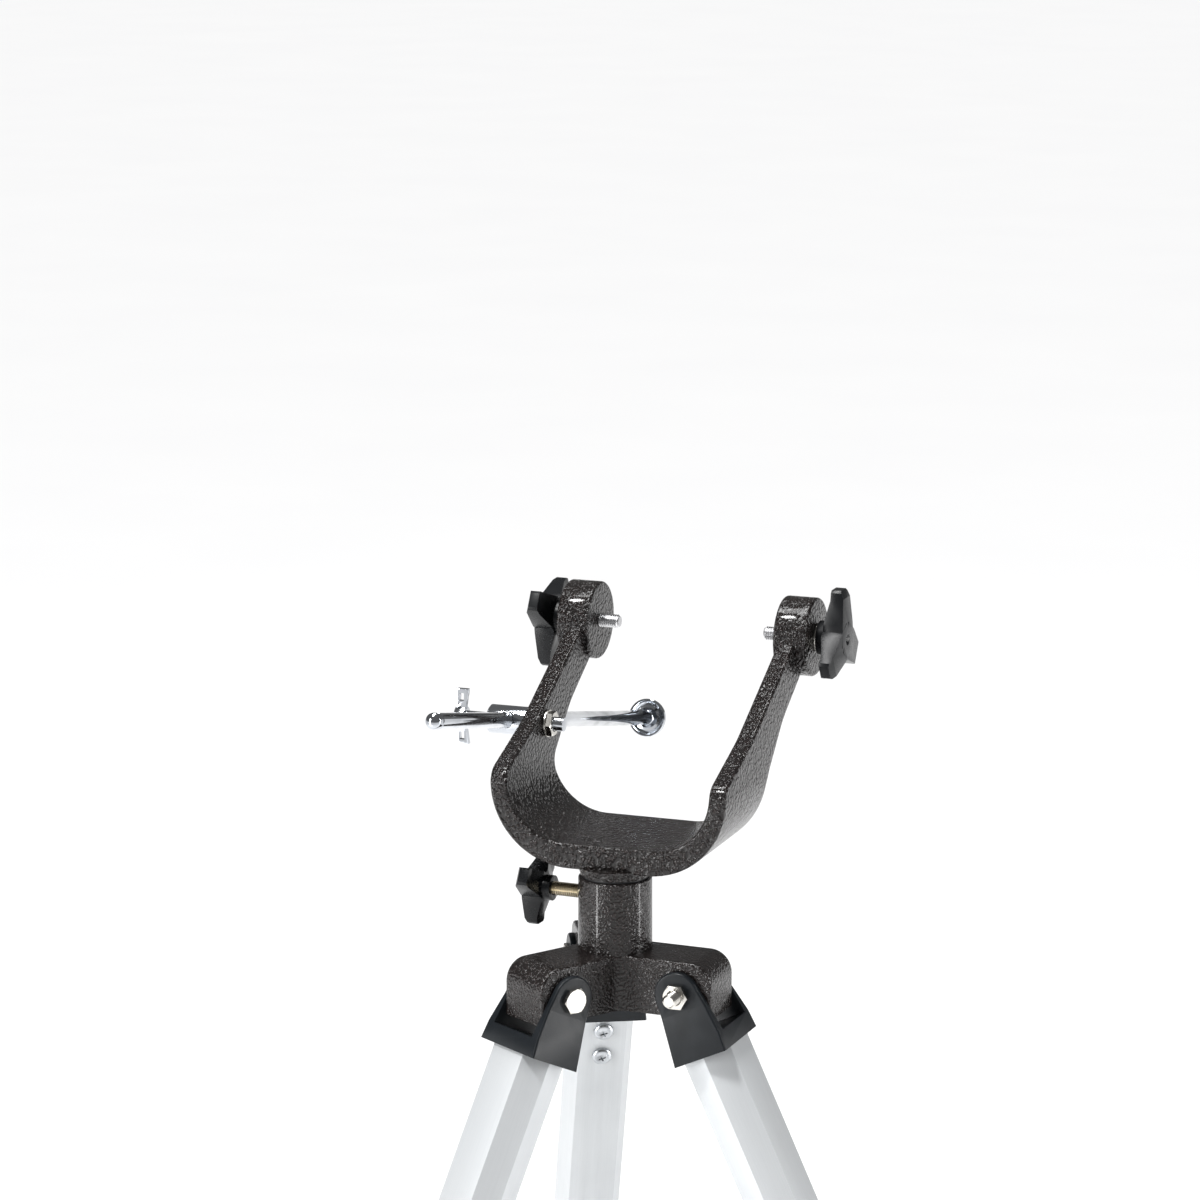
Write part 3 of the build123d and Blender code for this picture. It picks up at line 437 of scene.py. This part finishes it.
def stud_on(node, name, body, tip, foot, material, radius=3.0, pitch=1.0):
    """Threaded stud along its body's joint axis, from `tip` to `foot` mm before the joint."""
    joint = joint_at[body]
    profile = [(0, tip), (radius - 0.75, tip), (radius - 0.5, tip + 0.5)]
    profile += thread_profile(radius, tip + 0.6, foot, pitch)
    profile += [(0, profile[-1][1])]
    stud = turned(name, profile, 40)
    set_at(stud, joint["pos_m"], joint["axis"])
    return fit_for(stud, node, material)


def span_along(node, body):
    """Lowest and highest place of a node along its body's joint axis, in mm from the joint."""
    origin = Vector(joint_at[body]["pos_m"])
    axis = Vector(joint_at[body]["axis"]).normalized()
    places = [(vertex.co - origin).dot(axis) / MM for vertex in frame["nodes"][node].data.vertices]
    return min(places), max(places)


for side in ("left", "right"):
    node = f"altitude_stud_{side}"
    body = f"altitude_clamp_{side}"
    tip, foot = span_along(node, body)
    stud_on(node, node + "_threaded", body, tip, foot, steel)

washers = from_design("altitude_washers", "altitude_washers_plated")
fit_for(soften(washers, 0.25 * MM), "altitude_washers", nickel)

# The azimuth clamp screw is bright brass, with its thread open to view beside the pier.
brass = turned_metal("bright_brass", (0.74, 0.66, 0.5, 1.0), 0.16)
tip, foot = span_along("clamp_screw", "azimuth_clamp")
stud_on("clamp_screw", "clamp_screw_threaded", "azimuth_clamp", tip, foot, brass)

# ---- Swivel post, nut and washer -------------------------------------------------------------
# A chromed post turns in the left arm on its own stud.  It is cross-drilled for the rod, and
# a washer and nut hold it from inside the yoke.


def chrome(name, scratch_scale):
    """Bright chromium plate with faint polishing marks and a little haze."""
    plate = Finish(name, Metallic=1.0)
    haze = plate.ramp(plate.noise(90.0, 3.0), 0.4, 0.8)
    marks = plate.noise(scratch_scale, 2.0)
    plate.feed("Base Color", plate.mix(haze, (0.52, 0.54, 0.57, 1.0), (0.42, 0.44, 0.47, 1.0)))
    plate.feed("Roughness", 0.05 + 0.07 * haze + 0.03 * marks)
    plate.relief(marks, 6e-6, 0.5)
    return plate.material


chrome_plate = chrome("chromium_plate", 1400.0)
post = from_design("swivel_post", "swivel_post_chromed")
fit_for(soften(post, 0.25 * MM, segments=3), "swivel_post", chrome_plate)
washer = from_design("post_washer", "post_washer_plated")
fit_for(soften(washer, 0.2 * MM), "post_washer", nickel)


def hex_nut(name, across=ACROSS_M6, height=5.0, bore=3.0):
    """Hexagonal nut about z with a countersunk threaded bore."""
    nut = hex_blank(name, across, height)
    core = [(0, -1), (bore + 0.9, -1), (bore + 0.45, 0.1), (bore - 0.1, 0.7)]
    core += [(bore - 0.1, height - 0.7), (bore + 0.45, height - 0.1)]
    core += [(bore + 0.9, height + 1), (0, height + 1)]
    cut(nut, turned("tapping_tool", core, 48))
    only(nut)
    bpy.ops.object.shade_smooth_by_angle(angle=math.radians(25))
    return nut


swivel = joint_at["swivel_post"]
nut_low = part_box("post_nut")[0]
nut = hex_nut("post_nut_plated")
set_at(nut, (nut_low.x, swivel["pos_m"][1], swivel["pos_m"][2]), (1, 0, 0), (0, 0, 1))
fit_for(nut, "post_nut", nickel)

# ---- Wing screw ------------------------------------------------------------------------------
# A chromed die casting on an M5 thread: a round hub and two wings, each pierced by a window.
# It bears on the rod through the end of the post.
wing = from_design("wing_screw", "wing_screw_chromed")
fit_for(soften(wing, 0.45 * MM, segments=3, sharp=25.0), "wing_screw", chrome_plate)

# ---- Altitude rod and cup --------------------------------------------------------------------
# Chromed 7 mm rod with a domed button at its front end, cut off by a narrow groove.  The
# dished cup at its rear end turns on a turned-down tail.
slide = joint_at["altitude_rod"]
rod_axis = Vector(slide["axis"]).normalized()
cup_origin = Vector(joint_at["rod_end_cup"]["pos_m"])
rod_places = [
    (vertex.co - cup_origin).dot(rod_axis) / MM
    for vertex in frame["nodes"]["altitude_rod"].data.vertices
]
rod_start = min(rod_places)
rod_end = max(rod_places)
ROD = 3.5
TAIL = 2.0
DOME = 1.9
DOME_STEPS = 8
GROOVE = ROD - 0.5
GROOVE_EDGE = ROD - 0.2
rod_profile = [(0, rod_start)]
for step in range(1, DOME_STEPS):
    angle = math.radians(90 * step / DOME_STEPS)
    rod_profile += [(ROD * math.sin(angle), rod_start + DOME * (1 - math.cos(angle)))]
rod_profile += [(ROD, rod_start + DOME), (ROD, rod_start + 4.4)]
rod_profile += [(GROOVE_EDGE, rod_start + 4.6), (GROOVE, rod_start + 4.7)]
rod_profile += [(GROOVE, rod_start + 5.3), (GROOVE_EDGE, rod_start + 5.4), (ROD, rod_start + 5.6)]
rod_profile += [(ROD, -1.0), (ROD - 0.5, 0), (TAIL, 0), (TAIL, rod_end - 0.4)]
rod_profile += [(TAIL - 0.4, rod_end), (0, rod_end)]
rod = turned("altitude_rod_chromed", rod_profile, 72)
set_at(rod, cup_origin, rod_axis)
fit_for(rod, "altitude_rod", chrome("polished_rod", 2200.0))

cup_profile = [(2.05, 0.05), (3.4, 0.05), (3.6, 0.25), (4.0, 1.4), (4.9, 2.5), (6.2, 2.75)]
cup_profile += [(7.4, 2.3), (7.8, 1.5), (8.1, 1.25), (8.7, 1.25), (9.0, 1.55), (9.0, 3.3)]
cup_profile += [(8.7, 3.8), (7.0, 5.0), (5.0, 6.0), (4.5, 6.3), (4.5, 7.8), (4.3, 8.0)]
cup_profile += [(2.5, 8.0)] + thread_profile(2.5, 8.2, 16.4, 0.8)
cup_profile += [(1.7, 17.0), (0, 17.0), (0, 6.1), (2.05, 6.1), (2.05, 0.05)]
cup = turned("rod_end_cup_chromed", cup_profile, 72)
set_at(cup, cup_origin, rod_axis)
fit_for(cup, "rod_end_cup", chrome_plate)

# ---- Leg hinge bolts and nuts ----------------------------------------------------------------
# M6 hexagon bolts, bright nickel plated, one through each arm of the head.  The head is on
# the left of each leg as one looks outwards, and the nut with the bolt's end on the right.
CHEEK = 15.75
bolts = []
nuts = []
for leg in LEGS:
    hinge = joint_at[f"leg_{leg}"]
    head_blank = hex_blank("hinge_bolt", ACROSS_M6, height=4.0, faces=1)
    far_cheek = -2 * CHEEK
    shank = [(0, far_cheek - 6.6), (2.2, far_cheek - 6.6)]
    shank += thread_profile(3.0, far_cheek - 6.2, far_cheek + 5.0, 1.0)
    shank += [(3.0, far_cheek + 5.2), (3.0, 0.3), (0, 0.3)]
    bolt = joined([head_blank, turned("shank", shank, 40)])
    axis = Vector(hinge["axis"])
    seat = Vector(hinge["pos_m"]) + axis * CHEEK * MM
    bolts.append(set_at(bolt, seat, axis, (0, 0, 1)))
    nut = hex_nut("hinge_nut")
    nut_seat = Vector(hinge["pos_m"]) - axis * CHEEK * MM
    nuts.append(set_at(nut, nut_seat, -axis, (0, 0, 1)))
bolt_set = joined(bolts)
bolt_set.name = "leg_hinge_bolts_plated"
fit_for(bolt_set, "leg_hinge_bolts", nickel)
nut_set = joined(nuts)
nut_set.name = "leg_hinge_nuts_plated"
fit_for(nut_set, "leg_hinge_nuts", nickel)

# ---- Leg brackets, collars and brace mouldings -----------------------------------------------
# Satin black mouldings: the clevis at the top of each leg, the lock collar at the bottom of
# the upper tube, and the clips, arms and hub of the brace.
bracket_plastic = moulded_plastic(
    "satin_bracket_plastic",
    color=(0.006, 0.0075, 0.0092, 1.0),
    pale=(0.014, 0.0165, 0.019, 1.0),
    roughness=0.3,
    grain=1300.0,
    depth=3e-5,
)
moulding_edges = {"leg_bracket": 0.45, "leg_lock_collar": 0.3, "brace_clip": 0.2, "brace_arm": 0.3}
for leg in LEGS:
    for kind, edge in moulding_edges.items():
        node = f"{kind}_{leg}"
        moulding = from_design(node, node + "_moulding")
        fit_for(soften(moulding, edge * MM, sharp=25.0), node, bracket_plastic)
hub = from_design("brace_hub", "brace_hub_moulding")
fit_for(soften(hub, 0.3 * MM), "brace_hub", bracket_plastic)

# Plain steel pins join the arms to the hub and to the clips.
for node in ["brace_hub_pins"] + [f"brace_clip_pin_{leg}" for leg in LEGS]:
    pins = from_design(node, node + "_turned")
    fit_for(soften(pins, 0.25 * MM), node, steel)

# ---- Legs ------------------------------------------------------------------------------------
# Hexagonal tubes extruded in aluminium and anodised a satin silver.  The die leaves very fine
# lines along the tube.
LEG_TILT = 25.0


def anodised(name, azimuth):
    """Satin anodised extrusion, its die lines along a leg at `azimuth` degrees."""
    metal = Finish(name, Metallic=0.45)
    turned_place = metal.node(
        "VectorRotate",
        {"rotation_type": "Z_AXIS"},
        {"Vector": metal.place, "Angle": math.radians(-azimuth)},
    )
    along_leg = metal.node(
        "VectorRotate",
        {"rotation_type": "Y_AXIS"},
        {"Vector": turned_place, "Angle": math.radians(LEG_TILT)},
    )
    stretched = metal.node("Mapping", inputs={"Vector": along_leg, "Scale": (1.0, 1.0, 0.012)})
    lines = metal.noise(2600.0, 3.0, stretched)
    cloud = metal.ramp(metal.noise(26.0, 3.0), 0.3, 0.75)
    bright = (0.53, 0.545, 0.555, 1.0)
    dull = (0.45, 0.465, 0.478, 1.0)
    metal.feed("Base Color", metal.mix(0.55 * lines + 0.45 * cloud, bright, dull))
    metal.feed("Roughness", 0.4 + 0.1 * lines + 0.06 * cloud)
    metal.relief(lines, 2.5e-5, 0.6)
    return metal.material


rubber = moulded_plastic(
    "foot_rubber",
    color=(0.012, 0.012, 0.012, 1.0),
    pale=(0.035, 0.034, 0.033, 1.0),
    roughness=0.62,
    grain=900.0,
    depth=6e-5,
)
for leg in LEGS:
    axis = joint_at[f"leg_{leg}"]["axis"]
    azimuth = math.degrees(math.atan2(-axis[0], axis[1]))
    tube_metal = anodised(f"anodised_tube_{leg}", azimuth)
    for kind in ("upper_leg", "lower_leg"):
        node = f"{kind}_{leg}"
        tube = from_design(node, node + "_tube")
        fit_for(soften(tube, 0.35 * MM), node, tube_metal)
    guide = from_design(f"lower_leg_guide_{leg}", f"lower_leg_guide_{leg}_nylon")
    fit_for(soften(guide, 0.1 * MM), f"lower_leg_guide_{leg}", nylon)
    foot = from_design(f"foot_{leg}", f"foot_{leg}_rubber")
    only(foot)
    bpy.ops.object.shade_smooth_by_angle(angle=math.radians(35))
    fit_for(foot, f"foot_{leg}", rubber)
    tip, foot_end = span_along(f"leg_lock_screw_{leg}", f"leg_lock_{leg}")
    stud_on(
        f"leg_lock_screw_{leg}", f"leg_lock_screw_{leg}_threaded", f"leg_lock_{leg}",
        tip, foot_end, steel,
    )

# ---- Bracket screws --------------------------------------------------------------------------
# Two zinc-plated pan-head screws hold each tube on the spigot of its bracket.  Each has a
# cross recess.
zinc = turned_metal("zinc_plate", (0.5, 0.52, 0.54, 1.0), 0.22)
CROSS_SPAN = 4.6
CROSS_WIDTH = 0.95
CROSS_BLADE = 2.6


def pan_screw(name, head=4.25, height=2.4, shank=2.0, length=9.0):
    """Pan-head screw about z: seat at zero, head upwards, with a cross recess."""
    profile = [(0, -length), (0.4, -length), (shank - 0.4, -length + 2)]
    profile += thread_profile(shank, -length + 2.2, -0.6, 1.2)
    profile += [(shank, 0), (head, 0), (head, 0.45 * height), (0.92 * head, 0.68 * height)]
    profile += [(0.76 * head, 0.85 * height), (0.5 * head, 0.96 * height), (0, height)]
    screw = turned(name, profile, 48)
    # Each blade sinks half its height; the second goes a little deeper, clear of the first's floor.
    for quarter in range(2):
        bpy.ops.object.select_all(action="DESELECT")
        bpy.ops.mesh.primitive_cube_add(size=1, location=(0, 0, height * MM))
        blade = bpy.context.object
        blade.scale = (CROSS_SPAN * MM, CROSS_WIDTH * MM, (CROSS_BLADE + 0.1 * quarter) * MM)
        blade.rotation_euler = (0, 0, math.radians(90 * quarter + 20))
        bpy.ops.object.transform_apply(location=True, rotation=True, scale=True)
        bpy.ops.object.mode_set(mode="EDIT")
        bpy.ops.mesh.select_all(action="DESELECT")
        bpy.ops.object.mode_set(mode="OBJECT")
        for vertex in blade.data.vertices:
            vertex.select = vertex.co.z < height * MM
        bpy.ops.object.mode_set(mode="EDIT")
        bpy.ops.transform.resize(value=(0.45, 0.45, 1), center_override=(0, 0, height * MM))
        bpy.ops.object.mode_set(mode="OBJECT")
        cut(screw, blade)
    only(screw)
    bpy.ops.object.shade_smooth_by_angle(angle=math.radians(30))
    return screw


SCREW_PLACES = (34.0, 48.5)
LEG_HALF_DEPTH = 11.5
for leg in LEGS:
    hinge = joint_at[f"leg_{leg}"]
    down = Vector(joint_at[f"extension_{leg}"]["axis"]).normalized()
    across = Vector(hinge["axis"])
    outwards = down.cross(across)
    if outwards.z < 0:
        outwards = -outwards
    pair = []
    for place in SCREW_PLACES:
        seat = Vector(hinge["pos_m"]) + down * place * MM - outwards * LEG_HALF_DEPTH * MM
        pair.append(set_at(pan_screw("bracket_screw"), seat, -outwards, across))
    screws = joined(pair)
    screws.name = f"bracket_screws_{leg}_zinc"
    fit_for(screws, f"bracket_screws_{leg}", zinc)

# ---- Floor, light and camera -----------------------------------------------------------------
# A pale floor that runs to the horizon, three narrow softboxes, on either side and overhead,
# and a high sun that lights the floor.
bpy.ops.object.select_all(action="DESELECT")
bpy.ops.mesh.primitive_plane_add(size=120, location=(0, 0, -0.0005))
floor = bpy.context.object
floor.name = "studio_floor"
floor_paint = Finish("studio_floor_paint", Roughness=0.9, Specular_IOR_Level=0.1)
floor_tone = floor_paint.noise(3.0, 2.0)
floor_paint.feed(
    "Base Color",
    floor_paint.mix(floor_tone, (0.94, 0.94, 0.94, 1.0), (0.91, 0.91, 0.915, 1.0)),
)
floor.data.materials.append(floor_paint.material)

world = bpy.data.worlds.new("studio")
bpy.context.scene.world = world
world.use_nodes = True
backdrop = world.node_tree.nodes["Background"]
backdrop.inputs["Color"].default_value = (1.0, 1.0, 1.0, 1.0)
backdrop.inputs["Strength"].default_value = 0.18

AIM = Vector((0.0, 0.03, 0.66))


def softbox(name, place, size, power):
    """Rectangular lamp that faces the mount."""
    light = bpy.data.lights.new(name, "AREA")
    light.shape = "RECTANGLE"
    light.size, light.size_y = size
    light.energy = power
    lamp = bpy.data.objects.new(name, light)
    lamp.location = place
    lamp.rotation_euler = (AIM - Vector(place)).to_track_quat("-Z", "Y").to_euler()
    bpy.context.scene.collection.objects.link(lamp)


softbox("left_softbox", place=(-1.25, -1.6, 0.75), size=(0.2, 1.5), power=36.0)
softbox("right_softbox", place=(1.75, 0.35, 0.8), size=(0.18, 1.6), power=24.0)
softbox("top_softbox", place=(-0.3, 0.2, 2.2), size=(0.9, 0.25), power=20.0)
overhead = bpy.data.lights.new("overhead", "SUN")
overhead.energy = 3.1
overhead.angle = math.radians(9)
overhead_lamp = bpy.data.objects.new("overhead", overhead)
overhead_lamp.rotation_euler = (math.radians(24), math.radians(-16), 0)
bpy.context.scene.collection.objects.link(overhead_lamp)

PIER_TOP = 0.62597
VIEW_DIRECTION = Vector((-0.34300, 0.91616, -0.20738))
camera_data = bpy.data.cameras.new("camera")
camera_data.sensor_width = 36.0
camera_data.lens = 128.86
camera_data.clip_end = 200.0
camera = bpy.data.objects.new("camera", camera_data)
camera.location = (0.6088, -1.6445, PIER_TOP + 0.4907)
camera.rotation_euler = VIEW_DIRECTION.to_track_quat("-Z", "Y").to_euler()
bpy.context.scene.collection.objects.link(camera)
bpy.context.scene.camera = camera
bpy.context.scene.view_settings.view_transform = "Standard"
